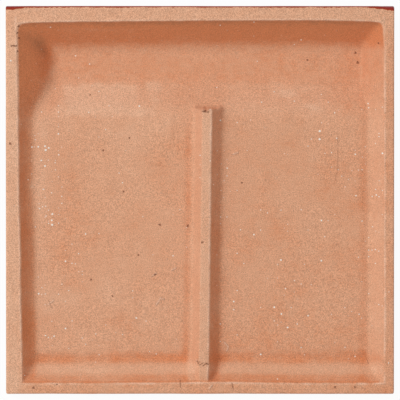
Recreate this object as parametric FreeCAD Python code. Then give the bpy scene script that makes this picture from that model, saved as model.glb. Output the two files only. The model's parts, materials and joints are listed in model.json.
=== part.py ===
"""Ceramic liner tile: a square red-bodied trim tile with a rolled moulding along one edge.

The tile is one pressed and fired piece. Its face is a flat panel that turns through a cove into a
rolled moulding at the top edge. Its back is hollow, so that the body is about as thick everywhere:
a rim runs round all four sides, a centre rib stiffens the panel, and a deeper channel follows the
moulding. Lying face down, the tile stands on the crest of the moulding and on its lower arris.

Tile axes, used while building: X across the tile, Y up the tile towards the moulding, and Z out of
the back, with the plane of the rim at Z = 0. The finished solid is turned by its rest angle about
X, so that it stands on Z = 0 with its extents centred on the origin. Sizes are in millimetres.
"""

import FreeCAD
import Part
import math
import os

# Overall sizes
TILE_WIDTH = 150.0         # over the side faces, at the crest of the moulding
TILE_HEIGHT = 150.0        # over the top and bottom faces, at their widest
PANEL_THICKNESS = 13.0
MOULDING_THICKNESS = 21.5

# Outside: what the side faces lean out by from rim to face, and the rounding of the edges
SIDE_FLARE = 0.8
TOP_FLARE = 0.4
BOTTOM_FLARE = 0.2
ARRIS_RADIUS = 0.8
LOWER_ARRIS_RADIUS = 2.0

# Face: rolled moulding, and the cove between it and the panel
MOULDING_HEIGHT = 29.0     # top face to where crest and slope would meet
COVE_RUN = 11.0            # across the slope
NOSE_RADIUS = 15.0         # crest into top face
CREST_RADIUS = 12.0        # slope into crest
COVE_RADIUS = 10.0         # panel into slope

# Rim, across its flat from the outer edge to the hollow
RIM_LEFT = 4.1             # at mid height
RIM_RIGHT = 3.0
RIM_TOP = 4.8
RIM_BOTTOM = 4.4
LEFT_WALL_LEAN = 1.0       # degrees from the Y axis: the left rim is narrower at the top

# Hollow: depths below the rim
PANEL_HOLLOW_DEPTH = 6.5
CHANNEL_DEPTH = 14.5

# Hollow: how far each wall comes in, from the rim to the panel's floor and to the channel's floor
LEFT_PANEL_RUN = 5.8
LEFT_CHANNEL_RUN = 13.4
RIGHT_PANEL_RUN = 5.5
RIGHT_CHANNEL_RUN = 9.1

# Hollow: top wall, with a steep lip under the rim
TOP_LIP_DEPTH = 1.2
TOP_LIP_RUN = 0.3
TOP_WALL_RUN = 11.5
TOP_FOOT_RADIUS = 4.0

# Hollow: channel floor, and the rise from it to the panel's floor
CHANNEL_FLOOR_WIDTH = 13.5
RISE_RUN = 11.9
RISE_LOWER_RADIUS = 8.0
RISE_UPPER_RADIUS = 10.0

# Hollow: bottom wall, steep under the rim and gentle below
BOTTOM_STEP_DEPTH = 3.5
BOTTOM_STEP_RUN = 3.0
BOTTOM_WALL_RUN = 7.8
BOTTOM_STEP_RADIUS = 2.0
BOTTOM_FOOT_RADIUS = 1.5

# Centre rib
RIB_TOP_WIDTH = 3.5
RIB_FLANK_RUN = 3.9        # from the rib's top to the panel's floor
RIB_DROP = 0.35            # top of the rib below the rim
RIB_END_RUN = 1.6          # the same, at the rib's free end
RIB_END_MARGIN = 39.6      # top of the rim to the end of the rib's top
RIB_OFFSET = 2.3           # right of the tile's middle, at mid height
RIB_LEAN = 0.8             # degrees from the Y axis

CLEAR = 3.0                # how far a cutting solid passes the surface it cuts

HALF_WIDTH = TILE_WIDTH / 2
HALF_HEIGHT = TILE_HEIGHT / 2
RIM_X = HALF_WIDTH - SIDE_FLARE
RIM_HIGH_Y = HALF_HEIGHT - TOP_FLARE
RIM_LOW_Y = -HALF_HEIGHT + BOTTOM_FLARE


def turned_corner(before, here, after, radius):
    """Start, middle and end of the arc of this radius that turns the corner at here."""
    back = (before - here).normalize()
    onward = (after - here).normalize()
    half_angle = back.getAngle(onward) / 2
    reach = radius / math.tan(half_angle)
    to_middle = radius / math.sin(half_angle) - radius
    bisector = (back + onward).normalize()
    return here + back * reach, here + bisector * to_middle, here + onward * reach


def outline(corners, place):
    """Closed wire through corners (u, v) or (u, v, radius); a radius turns its corner by an arc.

    place gives the point in space that (u, v) stands for.
    """
    points = [place(corner[0], corner[1]) for corner in corners]
    stretches = []
    for i, corner in enumerate(corners):
        if len(corner) == 2:
            stretches.append((points[i],))
        else:
            after = points[(i + 1) % len(points)]
            stretches.append(turned_corner(points[i - 1], points[i], after, corner[2]))
    edges = []
    for i, stretch in enumerate(stretches):
        if len(stretch) == 3:
            edges.append(Part.Arc(*stretch).toShape())
        following = stretches[(i + 1) % len(stretches)][0]
        edges.append(Part.LineSegment(stretch[-1], following).toShape())
    return Part.Wire(edges)


def extruded_across(corners):
    """Solid with this section in the Y-Z plane, running across more than the tile's width."""
    section = outline(corners, lambda y, z: FreeCAD.Vector(-TILE_WIDTH, y, z))
    return Part.Face(section).extrude(FreeCAD.Vector(2 * TILE_WIDTH, 0, 0))


def extruded_along(corners, lean=0.0):
    """Solid with this section in the X-Z plane, running along more than the tile's height.

    lean turns it about Z at mid height; a positive angle takes its upper end to the left.
    """
    section = outline(corners, lambda x, z: FreeCAD.Vector(x, -TILE_HEIGHT, z))
    solid = Part.Face(section).extrude(FreeCAD.Vector(0, 2 * TILE_HEIGHT, 0))
    solid.rotate(FreeCAD.Vector(0, 0, 0), FreeCAD.Vector(0, 0, 1), lean)
    return solid


def face_corners():
    """Corners of the face's section, from the nose of the moulding down to the lower arris."""
    crest_y = HALF_HEIGHT - MOULDING_HEIGHT
    return [
        (HALF_HEIGHT, -MOULDING_THICKNESS, NOSE_RADIUS),
        (crest_y, -MOULDING_THICKNESS, CREST_RADIUS),
        (crest_y - COVE_RUN, -PANEL_THICKNESS, COVE_RADIUS),
        (-HALF_HEIGHT, -PANEL_THICKNESS, LOWER_ARRIS_RADIUS),
    ]


def outer_block():
    """The tile with a solid back, its rim and side edges rounded."""
    profile = extruded_across([(RIM_LOW_Y, 0), (RIM_HIGH_Y, 0)] + face_corners())
    sides = extruded_along([
        (-RIM_X, 0),
        (RIM_X, 0),
        (HALF_WIDTH, -MOULDING_THICKNESS),
        (-HALF_WIDTH, -MOULDING_THICKNESS),
    ])
    block = profile.common(sides)
    return block.makeFillet(ARRIS_RADIUS, rim_and_side_edges(block))


def rim_and_side_edges(block):
    """Edges of the block that lie on the rim's plane or on a side face."""
    chosen = []
    for edge in block.Edges:
        box = edge.BoundBox
        on_rim = box.ZMin > -ARRIS_RADIUS / 2
        on_side = min(abs(box.XMin), abs(box.XMax)) > RIM_X - ARRIS_RADIUS
        same_side = box.XMin * box.XMax > 0
        if on_rim or (on_side and same_side):
            chosen.append(edge)
    return chosen


def hollow_profile():
    """The hollow seen from the side, running across the tile."""
    top_y = RIM_HIGH_Y - RIM_TOP
    bottom_y = RIM_LOW_Y + RIM_BOTTOM
    channel_high_y = top_y - TOP_WALL_RUN
    channel_low_y = channel_high_y - CHANNEL_FLOOR_WIDTH
    return extruded_across([
        (bottom_y, CLEAR),
        (top_y, CLEAR),
        (top_y, 0),
        (top_y - TOP_LIP_RUN, -TOP_LIP_DEPTH),
        (channel_high_y, -CHANNEL_DEPTH, TOP_FOOT_RADIUS),
        (channel_low_y, -CHANNEL_DEPTH, RISE_LOWER_RADIUS),
        (channel_low_y - RISE_RUN, -PANEL_HOLLOW_DEPTH, RISE_UPPER_RADIUS),
        (bottom_y + BOTTOM_WALL_RUN, -PANEL_HOLLOW_DEPTH, BOTTOM_FOOT_RADIUS),
        (bottom_y + BOTTOM_STEP_RUN, -BOTTOM_STEP_DEPTH, BOTTOM_STEP_RADIUS),
        (bottom_y, 0),
    ])


def space_inside_wall(rim_x, panel_run, channel_run, inward, lean):
    """Everything to the inner side of one side wall; inward is 1 for the left wall, -1 right."""
    slope = (channel_run - panel_run) / (CHANNEL_DEPTH - PANEL_HOLLOW_DEPTH)
    lowest_x = rim_x + inward * (channel_run + slope * CLEAR)
    far_x = inward * TILE_WIDTH
    return extruded_along([
        (rim_x, CLEAR),
        (rim_x, 0),
        (rim_x + inward * panel_run, -PANEL_HOLLOW_DEPTH),
        (lowest_x, -CHANNEL_DEPTH - CLEAR),
        (far_x, -CHANNEL_DEPTH - CLEAR),
        (far_x, CLEAR),
    ], lean)


def rib():
    """The centre rib, carried down past the floor and past the bottom wall."""
    rib_height = PANEL_HOLLOW_DEPTH - RIB_DROP
    foot_z = -CHANNEL_DEPTH - CLEAR
    top_half = RIB_TOP_WIDTH / 2
    foot_half = top_half + RIB_FLANK_RUN * (-RIB_DROP - foot_z) / rib_height
    bar = extruded_along([
        (-top_half, -RIB_DROP),
        (top_half, -RIB_DROP),
        (foot_half, foot_z),
        (-foot_half, foot_z),
    ], -RIB_LEAN)
    bar.translate(FreeCAD.Vector(RIB_OFFSET, 0, 0))
    end_y = RIM_HIGH_Y - RIB_END_MARGIN
    end_foot_y = end_y + RIB_END_RUN * (-RIB_DROP - foot_z) / rib_height
    length = extruded_across([
        (-TILE_HEIGHT, 0),
        (end_y, 0),
        (end_y, -RIB_DROP),
        (end_foot_y, foot_z),
        (-TILE_HEIGHT, foot_z),
    ])
    return bar.common(length)


def hollow():
    """The whole space in the back, with the rib left standing in it."""
    left = space_inside_wall(-RIM_X + RIM_LEFT, LEFT_PANEL_RUN, LEFT_CHANNEL_RUN, 1, LEFT_WALL_LEAN)
    right = space_inside_wall(RIM_X - RIM_RIGHT, RIGHT_PANEL_RUN, RIGHT_CHANNEL_RUN, -1, 0.0)
    return hollow_profile().common(left).common(right).cut(rib())


def rest_angle():
    """Degrees that the tile turns about X to lie face down, on moulding crest and lower arris."""
    fall = MOULDING_THICKNESS - PANEL_THICKNESS
    crest_turn = math.atan2(fall, COVE_RUN)
    crest_y = HALF_HEIGHT - MOULDING_HEIGHT + CREST_RADIUS * math.tan(crest_turn / 2)
    crest_z = -MOULDING_THICKNESS + CREST_RADIUS
    lean = math.atan2(BOTTOM_FLARE, PANEL_THICKNESS)
    arris_reach = LOWER_ARRIS_RADIUS * math.tan((math.pi / 2 - lean) / 2)
    arris_y = -HALF_HEIGHT + arris_reach
    arris_z = -PANEL_THICKNESS + LOWER_ARRIS_RADIUS
    apart = math.hypot(crest_y - arris_y, crest_z - arris_z)
    line_of_centres = math.atan2(crest_z - arris_z, crest_y - arris_y)
    tangent = line_of_centres - math.asin((CREST_RADIUS - LOWER_ARRIS_RADIUS) / apart)
    return -math.degrees(tangent)


def at_rest(body):
    """The body turned to lie level on Z = 0, its extents centred on the Z axis."""
    placed = body.copy()
    placed.rotate(FreeCAD.Vector(0, 0, 0), FreeCAD.Vector(1, 0, 0), rest_angle())
    box = placed.optimalBoundingBox()
    placed.translate(FreeCAD.Vector(-box.Center.x, -box.Center.y, -box.ZMin))
    return placed


def main():
    body = outer_block().cut(hollow())
    os.makedirs("parts", exist_ok=True)
    at_rest(body).exportStep("parts/tile_body.step")


if __name__ == "__main__":
    main()
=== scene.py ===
"""Looks of the ceramic liner tile: its pressed clay back, its fired clay and its red glaze.

The tile is one mesh, liner_tile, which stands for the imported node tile_body. It is made in the
tile's own axes, in millimetres: X across the tile, Y up it towards the moulding, and Z out of the
back, with the plane of the rim at Z = 0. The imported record's bedding_rim mount says where that
plane lies in the frame.
"""

import json
import math

import bmesh
import bpy
import numpy as np
from mathutils import Matrix, Vector


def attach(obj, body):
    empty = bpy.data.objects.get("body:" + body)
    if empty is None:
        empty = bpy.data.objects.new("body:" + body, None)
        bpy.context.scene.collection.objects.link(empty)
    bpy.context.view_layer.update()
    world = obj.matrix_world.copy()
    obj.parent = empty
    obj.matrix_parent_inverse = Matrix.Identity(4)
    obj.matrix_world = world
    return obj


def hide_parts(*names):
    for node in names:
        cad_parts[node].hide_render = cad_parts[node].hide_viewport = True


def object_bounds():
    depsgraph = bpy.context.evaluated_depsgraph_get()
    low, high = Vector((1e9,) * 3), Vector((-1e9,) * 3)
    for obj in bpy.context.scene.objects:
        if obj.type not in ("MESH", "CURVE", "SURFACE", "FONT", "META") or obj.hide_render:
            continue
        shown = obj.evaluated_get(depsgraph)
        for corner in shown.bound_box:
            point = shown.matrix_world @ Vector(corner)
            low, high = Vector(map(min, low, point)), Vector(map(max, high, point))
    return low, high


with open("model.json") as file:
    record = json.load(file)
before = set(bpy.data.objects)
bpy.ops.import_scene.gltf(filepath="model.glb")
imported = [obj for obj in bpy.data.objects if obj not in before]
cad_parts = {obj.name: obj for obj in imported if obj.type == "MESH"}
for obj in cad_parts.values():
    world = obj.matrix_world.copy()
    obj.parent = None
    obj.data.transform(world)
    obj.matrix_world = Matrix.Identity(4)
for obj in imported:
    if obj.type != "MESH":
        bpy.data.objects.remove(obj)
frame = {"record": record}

CAD_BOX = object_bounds()
MM = 0.001

# Sizes of the tile, in millimetres, as the frame has them
HALF_WIDTH = 75.0
HALF_HEIGHT = 75.0
PANEL_THICKNESS = 13.0
MOULDING_THICKNESS = 21.5
SIDE_FLARE = 0.8
TOP_FLARE = 0.4
BOTTOM_FLARE = 0.2
LOWER_ARRIS_RADIUS = 2.0
MOULDING_HEIGHT = 29.0
COVE_RUN = 11.0
NOSE_RADIUS = 15.0
CREST_RADIUS = 12.0
COVE_RADIUS = 10.0
RIM_LEFT = 4.1
RIM_RIGHT = 3.0
RIM_TOP = 4.8
RIM_BOTTOM = 4.4
LEFT_WALL_LEAN = math.radians(1.0)
PANEL_HOLLOW_DEPTH = 6.5
CHANNEL_DEPTH = 14.5
TOP_LIP_DEPTH = 1.2
TOP_WALL_RUN = 11.5
CHANNEL_FLOOR_WIDTH = 13.5
RISE_RUN = 11.9
BOTTOM_STEP_DEPTH = 3.5
BOTTOM_STEP_RUN = 3.0
BOTTOM_WALL_RUN = 7.8
RIB_TOP_WIDTH = 3.5
RIB_FLANK_RUN = 3.9
RIB_DROP = 0.35
RIB_END_RUN = 1.6
RIB_END_MARGIN = 39.6
RIB_OFFSET = 2.3
RIB_LEAN = math.radians(0.8)

# How the pressed and worn clay differs from those sizes, in millimetres
RIM_ROUNDING = 0.85         # the outer edges at the top and at the bottom
SIDE_ROUNDING = 0.55        # the outer edges at the sides
SIDE_REACH = 0.5            # how much further out the side edges are
TOP_REACH = 0.4             # how much further out the top edge is
FLARE_SHARE = 0.85          # how much of the remaining flare a side face has
LEFT_RIM_EXTRA = 0.25       # how much wider the left rim is
CHANNEL_RIM_EXTRA = 0.2     # how much more it widens beside the channel
TOP_RIM_EXTRA = 0.05        # how much wider the top rim is
BOTTOM_RIM_CUT = 0.4        # how much narrower the bottom rim is
RIB_LEFT_CUT = 0.9          # how much narrower the rib's left flank is

# Slopes of the walls, as drop over run
LIP_SLOPE = 2.8
LEFT_PANEL_SLOPE = 1.42
LEFT_CHANNEL_SLOPE = 0.89
RIGHT_PANEL_SLOPE = 1.2
RIGHT_CHANNEL_SLOPE = 1.62
LEFT_FOOT_SLOPE = 1.35      # the left wall's steeper foot, beside the channel
LEFT_FOOT_INWARD = 9.0
LEFT_FOOT_DEPTH = 8.0
RIB_END_STEEPNESS = 2.2

RIM_X = HALF_WIDTH - SIDE_FLARE
EDGE_X = RIM_X + SIDE_REACH
RIM_HIGH_Y = HALF_HEIGHT - TOP_FLARE
EDGE_HIGH_Y = RIM_HIGH_Y + TOP_REACH
RIM_LOW_Y = -HALF_HEIGHT + BOTTOM_FLARE
CHANNEL_HIGH_Y = RIM_HIGH_Y - RIM_TOP - TOP_WALL_RUN
CHANNEL_LOW_Y = CHANNEL_HIGH_Y - CHANNEL_FLOOR_WIDTH
PANEL_HIGH_Y = CHANNEL_LOW_Y - RISE_RUN
RIB_END_Y = RIM_HIGH_Y - RIB_END_MARGIN

NOISE_CELLS = 128


# ---------------------------------------------------------------- small tools

def smooth_max(a, b, radius):
    """The larger of a and b, with the corner between them rounded over this height."""
    share = np.clip(0.5 + 0.5 * (a - b) / radius, 0, 1)
    return b + (a - b) * share + radius * share * (1 - share)


def smooth_min(a, b, radius):
    """The smaller of a and b, with the corner between them rounded over this height."""
    return -smooth_max(-a, -b, radius)


def fade(value, start, end):
    """0 before start, 1 after end, smooth between."""
    t = np.clip((value - start) / (end - start), 0, 1)
    return t * t * (3 - 2 * t)


def noise(seed, size, x, y=0.0):
    """Smooth noise from -1 to 1 whose cells are about size across."""
    table = np.random.default_rng(seed).uniform(-1, 1, (NOISE_CELLS, NOISE_CELLS))
    u = np.asarray(x / size + 0.37 * y / size, dtype=float) + 40
    v = np.asarray(y / size - 0.37 * x / size, dtype=float) + 40
    i, j = np.floor(u).astype(int), np.floor(v).astype(int)
    s, t = u - i, v - j
    s, t = s * s * (3 - 2 * s), t * t * (3 - 2 * t)
    here_i, here_j = i % NOISE_CELLS, j % NOISE_CELLS
    next_i, next_j = (i + 1) % NOISE_CELLS, (j + 1) % NOISE_CELLS
    low = table[here_i, here_j] * (1 - s) + table[next_i, here_j] * s
    high = table[here_i, next_j] * (1 - s) + table[next_i, next_j] * s
    return low * (1 - t) + high * t


def blob(x, y, at_x, at_y, reach_x, reach_y):
    """A soft patch, 1 at its middle."""
    return np.exp(-(((x - at_x) / reach_x) ** 2 + ((y - at_y) / reach_y) ** 2))


def band(value, at, reach):
    """A soft band, 1 along its middle."""
    return np.exp(-((value - at) / reach) ** 2)


def between(value, start, full, leave, end):
    """0 before start, 1 from full to leave, 0 after end, smooth between."""
    return fade(value, start, full) * (1 - fade(value, leave, end))


# ---------------------------------------------------------------- edges of the hollow

def left_edge(y):
    """X of the left rim's inner edge."""
    drift = -RIM_X + RIM_LEFT + LEFT_RIM_EXTRA - y * math.tan(LEFT_WALL_LEAN)
    drift = drift + CHANNEL_RIM_EXTRA * fade(y, 15, 55)
    return drift + 0.14 * noise(11, 17.0, y) + 0.09 * noise(12, 3.5, y)


def right_edge(y):
    """X of the right rim's inner edge."""
    settle = -0.5 * fade(y, 58, 70)
    return RIM_X - RIM_RIGHT + settle + 0.12 * noise(13, 15.0, y) + 0.06 * noise(14, 4.0, y)


def top_edge(x):
    """Y of the top rim's inner edge, which falls towards both corners."""
    fall = 0.9 * (np.abs(x) / 70.0) ** 5 + 0.5 * (1 - fade(x, -45, 35))
    ragged = 0.08 * noise(15, 12.0, x) + 0.06 * noise(20, 2.5, x)
    return RIM_HIGH_Y - RIM_TOP - TOP_RIM_EXTRA - fall + ragged


def bottom_edge(x):
    """Y of the bottom rim's inner edge."""
    smooth = RIM_LOW_Y + RIM_BOTTOM - BOTTOM_RIM_CUT + 0.35 * band(x, 10.0, 22.0)
    return smooth + 0.1 * noise(16, 13.0, x) + 0.07 * noise(17, 3.0, x)


def top_rounding(x):
    """Radius of the top rim's outer edge, which is softer at both corners."""
    return RIM_ROUNDING + 1.3 * fade(x, 64, 75) + 0.4 * fade(-x, 64, 75)


def rib_middle(y):
    """X of the middle of the rib."""
    straight = RIB_OFFSET + y * math.tan(RIB_LEAN)
    return straight + 0.12 * noise(18, 16.0, y) + 0.05 * noise(19, 5.0, y)


# ---------------------------------------------------------------- grid of the back

def grid_lines(stops, across):
    """Positions of the grid's lines. Stops are (position at across, lines up to the next)."""
    lines = []
    for (here, count), (following, _) in zip(stops, stops[1:]):
        start, end = here(across), following(across)
        for step in range(count):
            lines.append(start + (end - start) * step / count)
    lines.append(stops[-1][0](across))
    return np.array(lines)


def fixed(value):
    """A grid line that is straight."""
    return lambda across: np.full_like(across, value)


def beside(edge, offset):
    """A grid line that follows an edge at this distance."""
    return lambda across: edge(across) + offset


def across_stops():
    """Grid lines from left to right: close together at walls and rib, wide on the floors."""
    half = RIB_TOP_WIDTH / 2
    foot = half + RIB_FLANK_RUN
    return [
        (fixed(-EDGE_X + SIDE_ROUNDING), 7),
        (beside(left_edge, -0.3), 1),
        (beside(left_edge, -0.12), 1),
        (beside(left_edge, 0.0), 1),
        (beside(left_edge, 0.15), 1),
        (beside(left_edge, 0.35), 18),
        (beside(left_edge, 6.8), 19),
        (beside(left_edge, 15.8), 73),
        (beside(rib_middle, -foot - 1.5), 3),
        (beside(rib_middle, -foot), 11),
        (beside(rib_middle, -half - 0.2), 1),
        (beside(rib_middle, -half), 1),
        (beside(rib_middle, -half + 0.2), 7),
        (beside(rib_middle, half - 0.2), 1),
        (beside(rib_middle, half), 1),
        (beside(rib_middle, half + 0.2), 11),
        (beside(rib_middle, foot), 3),
        (beside(rib_middle, foot + 1.5), 73),
        (beside(right_edge, -10.6), 11),
        (beside(right_edge, -6.4), 18),
        (beside(right_edge, -0.35), 1),
        (beside(right_edge, -0.15), 1),
        (beside(right_edge, 0.0), 1),
        (beside(right_edge, 0.12), 1),
        (beside(right_edge, 0.3), 6),
        (fixed(EDGE_X - SIDE_ROUNDING), 0),
    ]


def upward_stops():
    """Grid lines from bottom to top."""
    return [
        (fixed(RIM_LOW_Y + RIM_ROUNDING), 8),
        (beside(bottom_edge, -0.3), 1),
        (beside(bottom_edge, -0.12), 1),
        (beside(bottom_edge, 0.0), 1),
        (beside(bottom_edge, 0.15), 1),
        (beside(bottom_edge, 0.35), 8),
        (beside(bottom_edge, BOTTOM_STEP_RUN), 14),
        (beside(bottom_edge, BOTTOM_WALL_RUN + 1.2), 130),
        (fixed(PANEL_HIGH_Y - 2.5), 26),
        (fixed(CHANNEL_LOW_Y + 1.5), 16),
        (fixed(CHANNEL_HIGH_Y - 1.5), 32),
        (beside(top_edge, -0.55), 1),
        (beside(top_edge, -0.4), 1),
        (beside(top_edge, -0.25), 1),
        (beside(top_edge, -0.1), 1),
        (beside(top_edge, 0.02), 1),
        (beside(top_edge, 0.15), 1),
        (beside(top_edge, 0.35), 10),
        (lambda x: EDGE_HIGH_Y - top_rounding(x), 0),
    ]


# ---------------------------------------------------------------- height of the back

def floor_height(y):
    """The hollow's floor along the tile: panel, rise and channel."""
    rise = -PANEL_HOLLOW_DEPTH
    rise = rise - (y - PANEL_HIGH_Y) * (CHANNEL_DEPTH - PANEL_HOLLOW_DEPTH) / RISE_RUN
    return smooth_max(smooth_min(rise, -PANEL_HOLLOW_DEPTH, 2.6), -CHANNEL_DEPTH, 3.4)


def side_wall_height(inward, y, panel_slope, channel_slope):
    """A side wall, this far in from its edge, whose slope changes from panel to channel."""
    slope = panel_slope + (channel_slope - panel_slope) * fade(y, 26, 50)
    return -inward * slope


def top_wall_height(inward):
    """The wall under the moulding, with its steep lip."""
    lip = -inward * LIP_SLOPE
    slope = (CHANNEL_DEPTH - TOP_LIP_DEPTH) / (TOP_WALL_RUN - TOP_LIP_DEPTH / LIP_SLOPE)
    below = -TOP_LIP_DEPTH - (inward - TOP_LIP_DEPTH / LIP_SLOPE) * slope
    return smooth_max(lip, below, 0.3)


def bottom_wall_height(inward):
    """The wall at the bottom, steep under the rim and gentle below."""
    step = -inward * BOTTOM_STEP_DEPTH / BOTTOM_STEP_RUN
    gentle = (PANEL_HOLLOW_DEPTH - BOTTOM_STEP_DEPTH) / (BOTTOM_WALL_RUN - BOTTOM_STEP_RUN)
    below = -BOTTOM_STEP_DEPTH - (inward - BOTTOM_STEP_RUN) * gentle
    return smooth_max(step, below, 0.9)


def rib_height(x, y, middle):
    """The rib, which falls away on both flanks and at its free end."""
    run = np.where(x < middle, RIB_FLANK_RUN - RIB_LEFT_CUT, RIB_FLANK_RUN)
    slope = (PANEL_HOLLOW_DEPTH - RIB_DROP) / run
    flank = -RIB_DROP - (np.abs(x - middle) - RIB_TOP_WIDTH / 2) * slope
    end_slope = RIB_END_STEEPNESS * (PANEL_HOLLOW_DEPTH - RIB_DROP) / RIB_END_RUN
    ragged_end = RIB_END_Y - 0.35 + 0.3 * noise(21, 1.3, x)
    ragged_end = ragged_end - 0.5 * blob(x, 0, 2.3, 0, 0.45, 1)
    end = -RIB_DROP - (y - ragged_end) * end_slope
    top = -RIB_DROP + 0.12 * noise(22, 9.0, x, y) + 0.05 * noise(23, 2.5, x, y)
    top = top - 0.6 * blob(x, y, 2.2, -63.3, 0.8, 0.4) - 0.7 * blob(x, y, -0.2, -62.6, 0.7, 0.4)
    top = top - 0.5 * blob(x, y, 3.2, -63.5, 0.5, 1.0) - 0.35 * blob(x, y, 3.1, -60.0, 0.6, 2.5)
    return smooth_min(smooth_min(flank, end, 0.5), top, 0.3)


def left_wall_height(inward, y):
    """The left wall, with its steeper foot beside the channel."""
    wall = side_wall_height(inward, y, LEFT_PANEL_SLOPE, LEFT_CHANNEL_SLOPE)
    foot = -LEFT_FOOT_DEPTH - (inward - LEFT_FOOT_INWARD) * LEFT_FOOT_SLOPE
    return smooth_min(wall, foot, 1.0)


def uneven_floor(x, y, from_right, from_bottom, from_rib):
    """The floor with its waves and dents, and the grooves along the walls' feet."""
    floor = floor_height(y)
    floor = floor + 0.16 * noise(31, 34.0, x, y) + 0.07 * noise(32, 11.0, x, y)
    floor = floor + 0.03 * noise(33, 4.0, x, y)
    for at_x, at_y, reach_x, reach_y, rise in DENTS:
        floor = floor + rise * blob(x, y, at_x, at_y, reach_x, reach_y)
    groove = 0.8 * band(from_bottom, 8.6, 2.6)
    groove = groove + 0.3 * band(from_right, 6.6, 1.6) * (1 - fade(y, 30, 40))
    beside_rib = band(from_rib - RIB_TOP_WIDTH / 2 - RIB_FLANK_RUN, 0.8, 1.4)
    groove = groove + 0.25 * beside_rib * (1 - fade(y, 28, 34))
    return floor - groove


def rib_junctions(hollow, off_rib, y):
    """Bulges and dips of the clay at both ends of the rib."""
    hollow = hollow + 1.2 * blob(off_rib, y, -4.5, -65.2, 2.0, 3.8) * fade(-hollow, 0.5, 2.5)
    hollow = hollow - 0.6 * blob(off_rib, y, 5.2, -62.5, 1.6, 4.5)
    hollow = hollow + 0.5 * blob(off_rib, y, -4.2, 35.6, 1.2, 1.0)
    return hollow + 0.6 * blob(off_rib, y, 4.1, 35.2, 0.9, 1.2)


def back_height(x, y, nominal_x, nominal_y):
    """Height of the back over the whole tile, below the plane of the rim."""
    from_right = right_edge(nominal_y) - x
    from_bottom = y - bottom_edge(nominal_x)
    middle = rib_middle(nominal_y)
    off_rib = x - middle

    floor = uneven_floor(x, y, from_right, from_bottom, middle - x)
    left = left_wall_height(x - left_edge(nominal_y), y)
    right = side_wall_height(from_right, y, RIGHT_PANEL_SLOPE, RIGHT_CHANNEL_SLOPE)
    top = top_wall_height(top_edge(nominal_x) - y)
    bottom = bottom_wall_height(from_bottom)
    bottom = bottom - 2.4 * blob(off_rib, 0, 3.4, 0, 1.9, 1) * fade(from_bottom, 0.2, 2.0)
    walls = smooth_max(smooth_max(left, top, 3.0), smooth_max(right, top, 2.2), 0.02)
    side_bottom = smooth_max(smooth_max(left, bottom, 1.2), smooth_max(right, bottom, 2.4), 0.02)
    hollow = smooth_max(floor, right, 1.0)
    hollow = smooth_max(hollow, left, 3.2)
    hollow = smooth_max(hollow, bottom, 0.8)
    hollow = smooth_max(hollow, top, 4.0)
    hollow = np.maximum(hollow, np.maximum(walls, side_bottom))
    hollow = smooth_max(hollow, rib_height(x, y, middle), 1.1)
    hollow = rib_junctions(hollow, off_rib, y)

    unevenness = 0.1 + 0.06 * noise(34, 20.0, x, y) + 0.03 * noise(35, 5.0, x, y)
    return smooth_min(-np.abs(unevenness), hollow, 0.14)


# Dents and ridges of the floor: middle, reach across and up, and height
DENTS = [
    (-32.4, -16.4, 2.6, 2.4, -0.4),
    (-36.0, -12.5, 2.4, 1.0, 0.22),
    (-31.0, -42.0, 0.8, 8.0, 0.24),
    (-25.5, -44.0, 0.7, 7.0, 0.22),
    (-15.5, -46.0, 0.7, 6.0, 0.2),
    (50.4, -17.5, 2.2, 2.4, 0.35),
    (48.0, -22.0, 3.0, 1.2, -0.22),
    (-25.0, 21.2, 2.2, 0.8, 0.25),
    (-20.5, 18.3, 2.2, 0.8, 0.3),
    (-16.0, 15.0, 2.0, 0.8, 0.25),
    (-11.5, 28.0, 1.0, 5.0, 0.25),
    (13.9, 18.0, 0.9, 0.6, 0.5),
    (-22.0, 33.0, 1.4, 3.0, 0.2),
    (10.6, -57.3, 0.6, 1.6, 0.45),
    (-15.6, -39.4, 0.6, 1.5, 0.45),
    (-57.5, -41.0, 2.5, 0.8, 0.2),
    (-50.0, 8.0, 6.0, 1.6, -0.2),
    (-36.0, 6.0, 3.0, 5.0, 0.2),
    (24.0, 6.0, 2.0, 7.0, 0.18),
    (33.0, -8.0, 5.0, 1.5, -0.18),
    (-44.0, -22.0, 5.0, 2.0, 0.2),
    (-12.0, -20.0, 3.0, 4.0, -0.2),
    (40.0, -38.0, 6.0, 2.0, 0.16),
]


# ---------------------------------------------------------------- outside of the tile

# Steps round the rounded edges, as angles in the Y-Z plane, and round the ends of the rows
TOP_STEPS = np.radians([67.5, 45.0, 22.5, 0.0])
BOTTOM_STEPS = np.radians([180.0, 157.5, 135.0, 112.5])
END_STEPS = np.radians([22.5, 45.0, 67.5, 90.0])
SIDE_SHARES = (0.22, 0.45, 0.68, 0.88)   # of the way from a side's edge to its middle
NOSE_START_DEPTH = 6.6                   # the glazed face lies deeper than this


def arc(centre, radius, start, end, pieces):
    """Points round a centre in the Y-Z plane, between two directions in degrees from +Y."""
    angles = np.radians(np.linspace(start, end, pieces + 1))
    along, out = radius * np.cos(angles), radius * np.sin(angles)
    return np.column_stack([centre[0] + along, centre[1] + out])


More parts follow.
